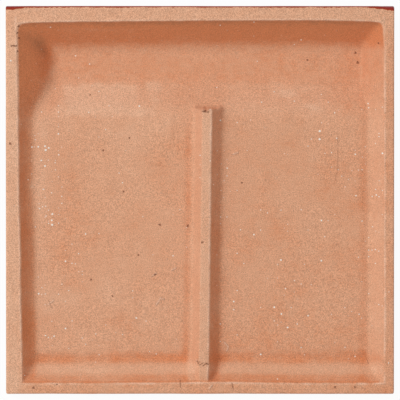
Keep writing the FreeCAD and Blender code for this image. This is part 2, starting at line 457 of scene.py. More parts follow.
def face_section():
    """Points of the outside from the top rim's edge down the face to the bottom rim's edge."""
    slope = math.degrees(math.atan2(MOULDING_THICKNESS - PANEL_THICKNESS, COVE_RUN))
    shift = math.tan(math.radians(slope) / 2)
    crest_y = HALF_HEIGHT - MOULDING_HEIGHT
    nose_z = -MOULDING_THICKNESS + NOSE_RADIUS
    nose = (RIM_HIGH_Y - TOP_FLARE * nose_z / MOULDING_THICKNESS - NOSE_RADIUS, nose_z)
    crest = (crest_y + CREST_RADIUS * shift, -MOULDING_THICKNESS + CREST_RADIUS)
    cove = (crest_y - COVE_RUN - COVE_RADIUS * shift, -PANEL_THICKNESS - COVE_RADIUS)
    arris_z = -PANEL_THICKNESS + LOWER_ARRIS_RADIUS
    low_y = RIM_LOW_Y + BOTTOM_FLARE * arris_z / PANEL_THICKNESS
    arris = (low_y + LOWER_ARRIS_RADIUS, arris_z)
    top_face = np.linspace((EDGE_HIGH_Y, -RIM_ROUNDING), (nose[0] + NOSE_RADIUS, nose_z), 5)[1:-1]
    panel = np.linspace((cove[0], -PANEL_THICKNESS), (arris[0], -PANEL_THICKNESS), 28)[1:-1]
    bottom_face = np.linspace((low_y, arris_z), (RIM_LOW_Y, -RIM_ROUNDING), 7)[1:-1]
    return np.vstack([
        top_face,
        arc(nose, NOSE_RADIUS, 0, -90, 16),
        arc(crest, CREST_RADIUS, -90, -90 - slope, 6),
        arc(cove, COVE_RADIUS, 90 - slope, 90, 5),
        panel,
        arc(arris, LOWER_ARRIS_RADIUS, -90, -180, 5),
        bottom_face,
    ])


def leaned(z):
    """How far a side face has flared out at this height, in millimetres."""
    share = np.minimum(-z / (PANEL_THICKNESS - SIDE_ROUNDING), 1)
    return FLARE_SHARE * (HALF_WIDTH - EDGE_X) * share


def outside_rows(top_x, bottom_x):
    """Rows of points round the outside, from the back's last row over the face to its first."""
    rows = []
    radius = top_rounding(top_x)
    for angle in TOP_STEPS:
        y = EDGE_HIGH_Y - radius + radius * np.cos(angle)
        z = -radius + radius * np.sin(angle)
        rows.append((y, z))
    for y, z in face_section():
        deeper = np.minimum(z, -radius - 0.3) if y > HALF_HEIGHT - 1 else np.full_like(top_x, z)
        rows.append((np.full_like(top_x, y), deeper))
    for angle in BOTTOM_STEPS:
        y = RIM_LOW_Y + RIM_ROUNDING + RIM_ROUNDING * np.cos(angle)
        z = -RIM_ROUNDING + RIM_ROUNDING * np.sin(angle)
        rows.append((np.full_like(top_x, y), np.full_like(top_x, z)))
    made = []
    for step, (y, z) in enumerate(rows):
        share = (step + 1) / (len(rows) + 1)
        x = top_x + (bottom_x - top_x) * share
        made.append(np.column_stack([x * (1 + leaned(z) / EDGE_X), y, z]))
    return np.array(made)


def row_normals(rows):
    """Outward normals, in the Y-Z plane, of rows that run round the tile as a closed loop."""
    along = np.roll(rows, -1, axis=0)[..., 1:] - np.roll(rows, 1, axis=0)[..., 1:]
    along /= np.linalg.norm(along, axis=-1, keepdims=True)
    return np.stack([-along[..., 1], along[..., 0]], axis=-1)


def end_rings(rim_ring, normals, outward):
    """Rings of points that round off one end of the loop of rows, ending on the side face."""
    rings = []
    for angle in END_STEPS:
        ring = rim_ring.copy()
        ring[:, 0] += outward * SIDE_ROUNDING * math.sin(angle)
        ring[:, 1:] -= normals * SIDE_ROUNDING * (1 - math.cos(angle))
        rings.append(ring)
    return rings + side_rings(rings[-1])


def face_height(y):
    """Height of the face straight below a place on the back."""
    profile = face_section()
    front = profile[(profile[:, 1] < -NOSE_START_DEPTH) & (profile[:, 0] > RIM_LOW_Y + 0.3)]
    order = np.argsort(front[:, 0])
    return np.interp(y, front[order, 0], front[order, 1])


def side_rings(last_ring):
    """Rings across a side face, from its rounded edge towards the middle of its thickness."""
    middle_y = np.clip(last_ring[:, 1], RIM_LOW_Y + 6, EDGE_HIGH_Y - 10)
    middle_z = 0.5 * face_height(middle_y)
    middle_x = np.sign(last_ring[:, 0]) * (EDGE_X + leaned(middle_z))
    middle = np.column_stack([middle_x, middle_y, middle_z])
    return [last_ring + (middle - last_ring) * share for share in SIDE_SHARES]


def wear(points, normals):
    """Takes the outside in by a few hundredths of a millimetre, unevenly."""
    around = points[..., 1] + points[..., 2] * 2.3
    depth = 0.05 * (1 + noise(41, 14.0, points[..., 0], around))
    depth = depth + 0.02 * (1 + noise(42, 3.5, points[..., 0], around))
    worn = points.copy()
    worn[..., 1:] -= normals * depth[..., None]
    return worn


def tile_points():
    """The tile's points as rows round the tile, and the two ends' rings."""
    zero = np.zeros(1)
    nominal_x = grid_lines(across_stops(), zero)[:, 0]
    nominal_y = grid_lines(upward_stops(), zero)[:, 0]
    x = grid_lines(across_stops(), nominal_y)
    y = grid_lines(upward_stops(), nominal_x).T
    z = back_height(x, y, nominal_x[:, None], nominal_y[None, :])
    back = np.stack([x, y, z], axis=-1).transpose(1, 0, 2)
    outside = outside_rows(back[-1, :, 0], back[0, :, 0])
    rows = np.concatenate([back, outside])
    normals = row_normals(rows)
    rows[len(back):] = wear(rows[len(back):], normals[len(back):])
    left = end_rings(rows[:, 0], normals[:, 0], -1)
    right = end_rings(rows[:, -1], normals[:, -1], 1)
    return rows, left, right


def tile_faces(rows, left, right):
    """All vertices in one array, and the faces that join them."""
    count, across = rows.shape[:2]
    vertices = [rows.reshape(-1, 3)]
    index = np.arange(count * across).reshape(count, across)
    following = np.roll(index, -1, axis=0)
    quads = np.stack(
        [index[:, :-1], index[:, 1:], following[:, 1:], following[:, :-1]], axis=-1
    ).reshape(-1, 4)
    faces = quads.tolist()
    used = count * across
    for ring_start, rings, flip in ((index[:, 0], left, True), (index[:, -1], right, False)):
        inner = ring_start
        for ring in rings:
            vertices.append(ring)
            outer = np.arange(used, used + count)
            used += count
            for a in range(count):
                b = (a + 1) % count
                face = [inner[a], outer[a], outer[b], inner[b]]
                faces.append(face[::-1] if flip else face)
            inner = outer
        cap = inner.tolist()
        faces.append(cap if flip else cap[::-1])
    return np.vstack(vertices), faces


# ---------------------------------------------------------------- from tile axes to the frame

def tile_to_frame():
    """The matrix that takes tile axes, in millimetres, to the frame, in metres."""
    rim = next(mount for mount in frame["record"]["mounts"] if mount["name"] == "bedding_rim")
    out = Vector(rim["axis"])
    right = Vector((1, 0, 0))
    up = out.cross(right)
    origin = Vector(rim["pos_m"]) - up * (RIM_HIGH_Y - RIM_TOP / 2) * MM
    turn = Matrix((right, up, out)).transposed().to_4x4()
    return Matrix.Translation(origin) @ turn @ Matrix.Scale(MM, 4)


# ---------------------------------------------------------------- what the surface is like

def in_channel(y):
    """0 beside the panel, 1 beside the channel."""
    return fade(y, 29, 54)


class Lie:
    """How points lie to the hollow's edges, the channel and the rib."""

    def __init__(self, x, y, z):
        self.x, self.y = x, y
        self.from_left, self.from_right = x - left_edge(y), right_edge(y) - x
        self.from_top, self.from_bottom = top_edge(x) - y, y - bottom_edge(x)
        self.off_rib = x - rib_middle(y)
        self.from_rib = np.abs(self.off_rib) - RIB_TOP_WIDTH / 2
        self.channel = in_channel(y)
        sideways = np.minimum(self.from_left, self.from_right)
        nearest_edge = np.minimum(sideways, np.minimum(self.from_top, self.from_bottom))
        self.inside = fade(-z, 0.5, 1.2) * (nearest_edge > -1)
        foot = 5.5 + 3.6 * self.channel
        self.right_wall = between(self.from_right, 0.1, 0.7, foot - 1, foot + 4)
        self.rib_bulge = blob(self.off_rib, y, -4.4, -65.0, 2.4, 4.4)


def painted_wall_shade(lie):
    """Painted shade on the channel and the walls: deeper tones where they lie in shade, on walls
    facing away from the lamp, under the top lip, in the channel, along the bottom wall's foot and
    on the rib's shaded flank.
    """
    channel, from_top, from_bottom = lie.channel, lie.from_top, lie.from_bottom
    left_foot = 5.8 + 9.0 * channel
    soft = 1.5 + 3.0 * channel
    left_wall = between(lie.from_left, 0.1, 0.7, left_foot - soft, left_foot + 1.5)
    top_wall = between(from_top, 0.1, 0.5, 7.5, 14.0)
    bottom_step = between(from_bottom, 0.1, 0.6, 2.2, 4.0)
    bottom_foot = between(from_bottom, 6.2, 8.8, 8.8, 13.5)
    rib_side = between(lie.from_rib, 0.1, 0.6, 3.8, 5.6) * (1 - fade(lie.y, 33.5, 35.2))
    rib_side = rib_side * (lie.off_rib > 0)

    # Painted shade in the enclosed channel.
    channel_floor = fade(lie.y, 42, 48) * (1 - 0.2 * fade(lie.y, 50, 58))
    tone = -0.28 * channel_floor
    # Painted shade on the top wall, darkest in a line under the rim's edge.
    lip = 0.55 * (1 - fade(from_top, 0.6, 4.0))
    tone = np.minimum(tone, -(1.05 + lip - 0.25 * fade(from_top, 4, 12)) * top_wall)
    # Painted shade on the left wall, darkest beside the channel.
    left_lip = 0.7 * channel * (1 - fade(lie.from_left, 0.6, 1.8))
    tone = np.minimum(tone, -(0.7 + left_lip + 0.6 * channel) * left_wall)
    tone = np.minimum(tone, -0.3 * channel * lie.right_wall)
    tone = np.minimum(tone, -0.38 * bottom_step)
    # Painted shade in the crease along the bottom wall's foot.
    foot_depth = 0.72 - 0.24 * fade(lie.x, 5, 25) + 0.12 * noise(60, 14.0, lie.x)
    tone = np.minimum(tone, -foot_depth * bottom_foot * (1 - lie.rib_bulge))
    # Painted shade on the rib's shaded right flank.
    return np.minimum(tone, -0.35 * rib_side)


def add_painted_slope_light_and_shade(tone, lie):
    """Painted light on the paler slopes of the right and bottom walls, the rib's lit flank and the
    bulge at its foot, and painted shade in the deeper lines beside them and in the corner right of
    the rib's foot.
    """
    y, from_bottom = lie.y, lie.from_bottom
    # Painted light on the right wall, the bulge at the rib's foot and the bottom wall's gentle
    # slope.
    tone = tone + 0.4 * (1 - lie.channel) * lie.right_wall + 0.5 * lie.rib_bulge
    tone = tone + 0.4 * fade(from_bottom, 2.8, 4.6) * (1 - fade(from_bottom, 5.6, 8.0))
    # Painted shade on the floor before the right wall's foot.
    tone = tone - 0.25 * band(lie.from_right, 8.0, 2.0) * (1 - lie.channel)
    # Painted light on the rib's lit left flank.
    rib_lit = between(lie.from_rib, 0.1, 0.6, 3.4, 4.4) * (1 - fade(y, 33.5, 35.2))
    tone = tone + 0.26 * rib_lit * (lie.off_rib < 0)
    # Painted shade in the corner right of the rib's foot and on the floor before its left flank.
    tone = tone - 0.45 * blob(lie.off_rib, y, 4.9, -62.0, 1.8, 6.0)
    beside_flank = band(lie.off_rib, -7.1, 1.2)
    return tone - 0.3 * beside_flank * (1 - fade(y, 25, 33)) * (1 - lie.rib_bulge)


def add_painted_mitre_shade(tone, x, y):
    """Painted shade in the dusky mitre between the left wall and the top wall."""
    across_mitre = (x + 62.0 + y - 61.0) / math.sqrt(2)
    along_mitre = (x + 62.0 - y + 61.0) / math.sqrt(2)
    return tone - 0.55 * blob(across_mitre, along_mitre, -1.0, 1.5, 2.8, 6.5)


def add_haze_tones(tone, lie):
    """Dry pale haze with ragged edges, on the rise and over the floor."""
    x, y, inside = lie.x, lie.y, lie.inside
    ragged = 1.6 * noise(51, 3.2, x, y) + 1.0 * noise(52, 9.0, x, y)
    rise = fade(y, 30, 35) * (1 - fade(y + 0.6 * ragged, 43.2, 45.2))
    left_haze = rise * fade(x + 3 * ragged, -60, -47) * (1 - fade(x + 3 * ragged, -25, -11))
    right_haze = rise * fade(x + ragged, 4, 14) * (1 - fade(x, 44, 54))
    tone = tone + 0.95 * left_haze + 0.4 * right_haze
    tone = tone + 0.55 * blob(x, y, -61.5, 0, 4.0, 46) * inside
    tone = tone - 0.07 * fade(x, 5, 30) * (1 - fade(y, 20, 45)) * inside
    tone = tone - 0.08 * fade(-y, 25, 60) * fade(x, 0, 20) * inside
    for at_x, at_y, reach_x, reach_y, amount in HAZES:
        tone = tone + amount * blob(x + ragged, y + 0.6 * ragged, at_x, at_y, reach_x, reach_y)
    return tone


def add_rim_tones(tone, lie):
    """The rims, palest at the top and left, and the rib's top."""
    x, y = lie.x, lie.y
    on_rim = 1 - lie.inside
    at_top = fade(y, 62, 70)
    tone = tone + on_rim * (0.45 * at_top + 0.7 * fade(-x, 68, 71) * (1 - at_top))
    tone = tone - on_rim * (0.15 * fade(x, 69, 71) + 0.15 * fade(-y, 68, 71))
    on_rib = on_rim * (1 - fade(np.abs(x - RIB_OFFSET), 5, 8)) * (1 - fade(np.abs(y), 66, 69))
    return tone + 0.6 * on_rib


def clay_tone_and_painted_light(x, y, z):
    """How pale the clay is, with painted light and shade: 1 for dry haze and lit slopes, 0 for
    plain clay, -1 for deep orange and shaded walls, -2 for the darkest painted shade.
    """
    lie = Lie(x, y, z)
    tone = add_painted_mitre_shade(add_painted_slope_light_and_shade(painted_wall_shade(lie), lie), x, y)
    tone = tone * lie.inside
    # Painted shadow: a thin dark line just inside the bottom rim's edge.
    tone = tone - 0.9 * band(lie.from_bottom, 0.55, 0.3) * (np.abs(x) < 69)
    tone = add_rim_tones(add_haze_tones(tone, lie), lie)
    patchy = (0.24 - 0.06 * fade(x, 0, 10)) * noise(53, 12.0, x, y)
    patchy = patchy + 0.13 * noise(54, 5.0, x, y)
    return tone + (1 - 0.6 * fade(y, 44, 48)) * patchy


# Soft pale patches: middle, reach across and up, and how pale
HAZES = [
    (33.0, 40.6, 3.4, 1.3, 1.2),
    (42.8, 35.6, 3.2, 1.3, 1.0),
    (-52.0, -38.0, 8.0, 5.5, 0.5),
    (-34.0, -36.0, 5.0, 7.0, 0.3),
    (-30.0, 25.0, 16.0, 9.0, 0.45),
    (-20.0, -8.0, 7.0, 10.0, 0.2),
    (20.0, -60.0, 12.0, 3.0, 0.2),
    (52.0, 14.0, 8.0, 10.0, -0.15),
    (61.0, 48.0, 7.0, 9.0, -0.12),
    (30.0, 15.0, 12.0, 12.0, -0.12),
    (46.0, -9.0, 5.0, 7.0, 0.2),
    (-64.5, 5.2, 0.9, 0.7, 1.2),
    (-36.0, 66.0, 18.0, 1.2, 0.3),
    (-72.9, 51.0, 0.8, 5.0, 0.6),
    (-72.0, 20.0, 0.8, 9.0, 0.3),
]


def arris_paleness(x, y, z):
    """1 along the dry, rubbed arrises of the hollow and the rib."""
    near = np.minimum(np.abs(x - left_edge(y)), np.abs(right_edge(y) - x))
    near = np.where(np.abs(y) < 71, near, 9.0)
    across = np.minimum(np.abs(top_edge(x) - y), np.abs(y - bottom_edge(x)))
    near = np.minimum(near, np.where(np.abs(x) < 71.5, across, 9.0))
    line = band(near, 0.0, 0.38)
    rib_right = np.abs(x - rib_middle(y) - RIB_TOP_WIDTH / 2 + 0.1)
    rib_line = band(rib_right, 0.0, 0.45) * (1 - fade(y, 34, 35.5)) * fade(y, -70, -68)
    broken = 0.6 + 0.6 * noise(56, 3.0, x, y)
    return np.clip((line + 0.9 * rib_line) * broken, 0, 1) * (z > -1.6)


def speck_density(x, y):
    """How thickly the white specks lie."""
    left = blob(x, y, -60, -5, 6, 36)
    right = 0.8 * blob(x, y, 66, -6, 4, 28) + 0.5 * blob(x, y, 60, 5, 5, 20)
    rib = 0.8 * blob(x, y, 8, 8, 2.5, 22) + 0.25 * blob(x, y, 40, -40, 24, 18)
    low = 0.3 * blob(x, y, -48, -45, 18, 20) + 0.35 * blob(x, y, 50, 30, 10, 14)
    inside = (np.abs(x) < 73) & (np.abs(y) < 73.5)
    clusters = (0.55 + 0.9 * noise(61, 7.0, x, y)) * (1 - 0.7 * fade(y, 38, 46))
    density = (0.08 + left + right + rib + low) * np.clip(clusters, 0.1, 1.3)
    return np.clip(density, 0, 1) * fade(y, -73, -60) * inside


def glaze_depth(x, y, z):
    """Millimetres inside the glaze, which covers the face and moulding and laps their edges."""
    runs = 1.7 + 0.7 * noise(57, 5.0, x, y) + 0.3 * noise(58, 1.7, x, y)
    above_face = z - face_height(y)
    lap = 0.5 + 0.15 * noise(59, 6.0, x) + 1.3 * fade(x, 60, 76) ** 1.5 + 0.8 * fade(-x, 66, 73)
    over_top = y - (EDGE_HIGH_Y - lap)
    return np.maximum(runs - above_face, over_top)


def streaks_upward(x, y):
    """1 where wiping streaks run up the tile, 0 where they run across it."""
    beside = np.maximum(fade(np.abs(x), 64, 68), 1 - fade(np.abs(x - RIB_OFFSET), 3.5, 7))
    return beside * (1 - fade(np.abs(y), 68.5, 71))


def graininess(y, z):
    """How grainy the clay is: 1 on floors and rims, less in the channel and on the walls."""
    channel = fade(y, 44, 47) * fade(-z, 0.5, 1.5)
    walls = fade(-z, 0.8, 2.0) * fade(z, -6.0, -5.0)
    return 1 - np.maximum(0.28 * channel, 0.2 * walls)


def store(mesh, name, values):
    """Keeps one number a vertex in the mesh, for its material."""
    layer = mesh.attributes.new(name, "FLOAT", "POINT")
    layer.data.foreach_set("value", np.ascontiguousarray(values, dtype=np.float32))


def build_tile():
    """The tile's mesh, with what its material needs to know at each vertex."""
    rows, left, right = tile_points()
    points, faces = tile_faces(rows, left, right)
    mesh = bpy.data.meshes.new("liner_tile")
    mesh.from_pydata(points.tolist(), [], faces)
    place = mesh.attributes.new("tile_mm", "FLOAT_VECTOR", "POINT")
    place.data.foreach_set("vector", points.astype(np.float32).ravel())
    x, y, z = points.T
    store(mesh, "tone", clay_tone_and_painted_light(x, y, z))
    store(mesh, "arris", arris_paleness(x, y, z))
    store(mesh, "specks", speck_density(x, y))
    store(mesh, "glaze_mm", glaze_depth(x, y, z))
    store(mesh, "upward", streaks_upward(x, y))
    store(mesh, "grainy", graininess(y, z))
    mesh.transform(tile_to_frame())
    work = bmesh.new()
    work.from_mesh(mesh)
    caps = [face for face in work.faces if len(face.verts) > 4]
    bmesh.ops.triangulate(work, faces=caps, ngon_method="BEAUTY")
    bmesh.ops.recalc_face_normals(work, faces=work.faces)
    work.to_mesh(mesh)
    work.free()
    mesh.shade_smooth()
    tile = bpy.data.objects.new("liner_tile", mesh)
    bpy.context.scene.collection.objects.link(tile)
    return tile


# ---------------------------------------------------------------- fired clay and glaze

class Nodes:
    """Adds nodes to one material; each method gives back an output socket."""

    def __init__(self, material):
        material.use_nodes = True
        self.tree = material.node_tree
        self.tree.nodes.clear()

    def add(self, kind, inputs, output=0, **settings):
        node = self.tree.nodes.new(kind)
        for name, value in settings.items():
            setattr(node, name, value)
        for key, value in inputs.items():
            if isinstance(value, bpy.types.NodeSocket):
                self.tree.links.new(value, node.inputs[key])
            else:
                node.inputs[key].default_value = value
        return node.outputs[output] if node.outputs else node

    def attribute(self, name, output="Fac"):
        return self.add("ShaderNodeAttribute", {}, output, attribute_name=name)

    def math(self, operation, a, b=0.0):
        return self.add("ShaderNodeMath", {0: a, 1: b}, operation=operation)

    def times(self, a, b):
        return self.math("MULTIPLY", a, b)

    def plus(self, a, b):
        return self.math("ADD", a, b)

    def vector(self, operation, a, b=(0.0, 0.0, 0.0), output=0):
        return self.add("ShaderNodeVectorMath", {0: a, 1: b}, output, operation=operation)

    def ramp(self, value, start, end, low=0.0, high=1.0):
        """low before start, high after end, smooth between."""
        inputs = {0: value, 1: start, 2: end, 3: low, 4: high}
        return self.add("ShaderNodeMapRange", inputs, interpolation_type="SMOOTHSTEP")

    def mix(self, share, a, b, blend="MIX"):
        inputs = {0: share, 6: a, 7: b}
        return self.add("ShaderNodeMix", inputs, 2, data_type="RGBA", blend_type=blend)

    def blend(self, share, a, b):
        """A number between a and b."""
        return self.add("ShaderNodeMix", {0: share, 2: a, 3: b}, 0, data_type="FLOAT")

    def noise(self, place, size, seed, detail=2.0):
        inputs = {"Vector": place, "W": seed * 7.3, "Scale": 1 / size, "Detail": detail}
        return self.add("ShaderNodeTexNoise", inputs, 0, noise_dimensions="4D")

    def cells(self, place, size, output):
        inputs = {"Vector": place, "Scale": 1 / size}
        return self.add("ShaderNodeTexVoronoi", inputs, output, voronoi_dimensions="2D")


CLAY = (0.71, 0.36, 0.212, 1)
# Deep orange clay, also used for painted shade on the walls and in the channel.
DEEP_CLAY_AND_SHADE = (0.665, 0.235, 0.1, 1)
# Painted shade: only the darkest painted shade on the walls and at the mitre reaches this colour.
DUSKY_PAINTED_SHADE = (0.42, 0.18, 0.085, 1)
# Pale clay for dry haze and the rims, also used for painted light on lit slopes.
PALE_CLAY_AND_LIGHT = (0.77, 0.445, 0.285, 1)
# Rubbed clay for the arrises, also used as painted highlight on the ridges and crumbs.
RUBBED_CLAY_AND_HIGHLIGHT = (0.84, 0.52, 0.36, 1)
SPECK = (0.94, 0.88, 0.78, 1)
# Pits and cracks: partly their own dark colour and partly painted shade in them.
PIT_AND_SHADE = (0.26, 0.085, 0.04, 1)
GLAZE = (0.29, 0.012, 0.005, 1)
DARK_GLAZE = (0.21, 0.01, 0.008, 1)
THIN_GLAZE = (0.36, 0.05, 0.014, 1)

# Small pits of the back: X, Y and radius, in millimetres
PITS = [
    (-69.8, 67.2, 0.35),
    (-70.3, 64.6, 0.3),
    (-69.6, 62.6, 0.3),
    (-70.2, 57.6, 0.3),
    (60.1, 56.1, 0.4),
    (60.9, 52.4, 0.45),
    (41.5, 53.4, 0.25),
    (68.7, 60.4, 0.3),
    (-42.4, 40.1, 0.25),
    (-37.2, 18.9, 0.3),
    (-29.4, 3.0, 0.35),
    (16.2, 6.4, 0.3),
    (-15.4, -9.8, 0.45),
    (-4.6, -10.2, 0.45),
    (-23.7, -21.5, 0.3),
    (-42.0, -31.0, 0.35),
    (-33.8, -37.4, 0.3),
    (-17.3, -29.0, 0.35),
    (-27.2, 23.8, 0.25),
    (1.0, -16.2, 0.4),
    (-73.0, 22.0, 0.35),
    (-64.1, -72.3, 0.4),
    (-55.1, -71.1, 0.3),
    (52.2, -72.1, 0.35),
    (59.8, -72.1, 0.3),
]

# Larger white specks, in the same way
WHITE_SPECKS = [
    (46.2, 26.4, 0.42),
    (46.1, 23.2, 0.42),
    (52.7, 23.6, 0.3),
    (-59.5, 19.1, 0.4),
    (-58.3, 19.9, 0.35),
    (-61.2, 15.1, 0.3),
    (-60.4, 4.0, 0.3),
    (-57.0, -5.7, 0.35),
    (-57.0, -9.8, 0.4),
    (-42.6, 51.9, 0.25),
    (-57.6, 66.7, 0.25),
    (-48.0, 55.0, 0.22),
    (23.8, 37.4, 0.25),
    (64.8, 36.9, 0.25),
    (51.9, 33.4, 0.25),
    (60.1, 1.5, 0.3),
    (32.9, -34.5, 0.3),
    (37.5, -48.2, 0.25),
    (61.4, -44.4, 0.25),
    (-56.3, -52.9, 0.25),
    (-24.6, -45.8, 0.35),
]

# Scratches and hair cracks: both ends, half width and strength
SCRATCHES = [
    ((53.2, 24.3), (53.2, 11.2), 0.11, 0.3),
    ((53.2, 11.2), (51.8, 6.1), 0.11, 0.25),
    ((-72.6, 59.6), (-70.5, 59.7), 0.2, 1.0),
    ((-58.4, -38.9), (-57.0, -42.0), 0.14, 0.3),
    ((-1.1, -62.1), (-0.5, -63.2), 0.15, 0.8),
    ((0.1, -63.5), (0.9, -62.9), 0.15, 0.9),
    ((1.3, -63.9), (2.0, -63.4), 0.14, 0.8),
    ((2.4, -62.9), (3.2, -63.5), 0.15, 0.9),
    ((64.3, -61.5), (65.0, -63.5), 0.13, 0.5),
    ((-7.6, -69.6), (-7.4, -72.2), 0.14, 0.6),
    ((12.4, -70.6), (12.9, -73.0), 0.14, 0.6),
    ((0.9, 34.4), (3.2, 34.2), 0.22, 0.8),
]

# Small raised ridges and curls of clay: both ends and half width
RIDGES = [
    ((9.4, -55.3), (10.9, -57.0), 0.28),
    ((10.9, -57.0), (10.3, -58.6), 0.25),
    ((-16.8, -40.6), (-15.2, -38.2), 0.28),
    ((-15.2, -38.2), (-14.0, -38.6), 0.25),
    ((-10.8, -27.3), (-9.3, -26.5), 0.28),
    ((-18.3, -29.5), (-16.9, -28.6), 0.25),
    ((12.8, 17.5), (14.5, 18.1), 0.3),
    ((-58.7, -40.6), (-56.4, -39.0), 0.25),
    ((3.6, -72.6), (4.6, -71.4), 0.3),
]


def spots(nodes, place, marks, softness):
    """1 on round marks whose edges are ragged."""
    nearest = 1e3
    for x, y, radius in marks:
        apart = nodes.vector("DISTANCE", place, (x, y, 0.0), 1)
        nearest = nodes.math("MINIMUM", nodes.times(apart, 1 / radius), nearest)
    return nodes.ramp(nearest, 1 - softness, 1 + softness, 1.0, 0.0)


def scratch(nodes, place, start, end, half_width):
    """1 along a straight scratch between two points."""
    start, end = Vector((*start, 0)), Vector((*end, 0))
    run = end - start
    away = nodes.vector("SUBTRACT", place, start)
    share = nodes.math("DIVIDE", nodes.vector("DOT_PRODUCT", away, run, 1), run.length_squared)
    share = nodes.add("ShaderNodeClamp", {0: share})
    shares = nodes.add("ShaderNodeCombineXYZ", {0: share, 1: share, 2: 0.0})
    reached = nodes.vector("MULTIPLY", shares, run)
    apart = nodes.vector("DISTANCE", away, reached, 1)
    return nodes.ramp(apart, half_width * 0.6, half_width * 1.8, 1.0, 0.0)


def flat_place(nodes, place):
    """The place on the tile, seen square-on and a little warped, for ragged marks."""
    warp = nodes.add("ShaderNodeTexNoise", {"Vector": place, "Scale": 1.6, "Detail": 1.0}, 1)
    warp = nodes.vector("SUBTRACT", warp, (0.5, 0.5, 0.5))
    warp = nodes.vector("MULTIPLY", warp, (0.7, 0.7, 0.0))
    return nodes.vector("MULTIPLY", nodes.vector("ADD", place, warp), (1.0, 1.0, 0.0))


def scattered(nodes, place, size, radius, share):
    """Round marks of mixed sizes in this share of cells of one size, from 0 to 1."""
    random = nodes.cells(place, size, 1)
    chance = nodes.add("ShaderNodeSeparateColor", {0: random}, 0)
    swelling = nodes.add("ShaderNodeSeparateColor", {0: random}, 1)
    swelling = nodes.ramp(swelling, 0.0, 1.0, 0.45, 1.15)
    apart = nodes.times(nodes.cells(place, size, 0), size)
    apart = nodes.math("DIVIDE", apart, swelling)
    mark = nodes.ramp(apart, radius * 0.6, radius * 1.2, 1.0, 0.0)
    here = nodes.math("LESS_THAN", chance, share)
    return nodes.times(nodes.times(mark, here), swelling)


def small_specks(nodes, place):
    """Fine white grog, thick where the mesh says so."""
    thickness = nodes.attribute("specks")
    coarse = scattered(nodes, place, 2.6, 0.32, nodes.times(thickness, 0.24))
    fine = scattered(nodes, place, 1.3, 0.2, nodes.times(thickness, 0.34))
    return nodes.math("MAXIMUM", coarse, fine)


def small_lumps(nodes, place):
    """Crumbs of clay that stand proud of the surface."""
    moved = nodes.vector("ADD", place, (31.7, 12.3, 0.0))
    return nodes.times(scattered(nodes, moved, 2.1, 0.28, 0.2), 0.4)


def raised_ridges(nodes, place):
    """1 along the small ridges and curls."""
    raised = 0.0
    for start, end, half_width in RIDGES:
        raised = nodes.math("MAXIMUM", scratch(nodes, place, start, end, half_width), raised)
    return raised


def streaks(nodes, place):
    """Fine streaks left by wiping, from 0 to 1."""
    along = nodes.noise(nodes.vector("MULTIPLY", place, (0.12, 1.0, 1.0)), 0.55, 3)
    upward = nodes.noise(nodes.vector("MULTIPLY", place, (1.0, 0.12, 1.0)), 0.55, 4)
    return nodes.blend(nodes.attribute("upward"), along, upward)


def clay_colour(nodes, place, grain, streak, specks, pits, raised):
    """The clay's colour, from its tone with its painted light and shade, its mottle and streaks,
    its grain and its marks.
    """
    mottle = nodes.math("SUBTRACT", nodes.noise(place, 2.5, 1, 2.5), 0.5)
    tone = nodes.plus(nodes.attribute("tone"), nodes.times(mottle, 0.75))
    streak_share = nodes.times(nodes.math("SUBTRACT", streak, 0.5), 0.6)
    tone = nodes.plus(tone, streak_share)
    # The tone's ramp: the deep and dusky colours carry painted shade, and the pale colour also
    # carries painted light.
    colour = nodes.mix(nodes.ramp(tone, -2.3, -1.1), DUSKY_PAINTED_SHADE, DEEP_CLAY_AND_SHADE)
    colour = nodes.mix(nodes.ramp(tone, -1.1, 0.1), colour, CLAY)
    colour = nodes.mix(nodes.ramp(tone, -0.1, 1.2), colour, PALE_CLAY_AND_LIGHT)
    colour = nodes.mix(nodes.times(nodes.attribute("arris"), 0.85), colour, RUBBED_CLAY_AND_HIGHLIGHT)
    # Painted highlight: the ridges and crumbs are tinted pale to stand for their lit sides.
    colour = nodes.mix(nodes.times(raised, 0.6), colour, RUBBED_CLAY_AND_HIGHLIGHT)
    strength = nodes.times(nodes.attribute("grainy"), 0.33)
    shade = nodes.times(nodes.ramp(grain, 0.25, 0.75, -1.0, 1.0), strength)
    shade = nodes.plus(shade, 1.0)
    shade = nodes.add("ShaderNodeCombineColor", {0: shade, 1: shade, 2: shade})
    colour = nodes.mix(1.0, colour, shade, "MULTIPLY")
    colour = nodes.mix(nodes.times(specks, 0.85), colour, SPECK)
    return nodes.mix(nodes.times(pits, 0.75), colour, PIT_AND_SHADE)


def glaze_colour(nodes, place, depth):
    """Deep red, uneven, and more orange where the glaze is thin at its edge."""
    body = nodes.mix(nodes.noise(place, 9.0, 5), GLAZE, DARK_GLAZE)
    return nodes.mix(nodes.ramp(depth, 0.0, 0.9), THIN_GLAZE, body)


def dark_marks(nodes, place):
    """1 in the pits, and up to 1 along the scratches and hair cracks; their dark colour is partly
    their own and partly painted shade in them.
    """
    pits = spots(nodes, place, PITS, 0.35)
    for start, end, half_width, strength in SCRATCHES:
        mark = nodes.times(scratch(nodes, place, start, end, half_width), strength)
        pits = nodes.math("MAXIMUM", pits, mark)
    return pits


def clay_relief(nodes, place, grain, streak, specks, pits, raised):
    """Height of the clay's finest relief, in millimetres."""
    relief = nodes.times(grain, nodes.times(nodes.attribute("grainy"), 0.2))
    relief = nodes.plus(relief, nodes.times(streak, 0.08))
    relief = nodes.plus(relief, nodes.times(nodes.noise(place, 2.4, 7), 0.2))
    relief = nodes.math("SUBTRACT", relief, nodes.times(pits, 0.35))
    relief = nodes.plus(relief, nodes.times(raised, 0.24))
    return nodes.plus(relief, nodes.times(specks, 0.05))


def glaze_relief(nodes, place):
    """Height of the glaze's slow ripple, in millimetres."""
    return nodes.plus(nodes.times(nodes.noise(place, 5.0, 8), 0.06), 0.25)


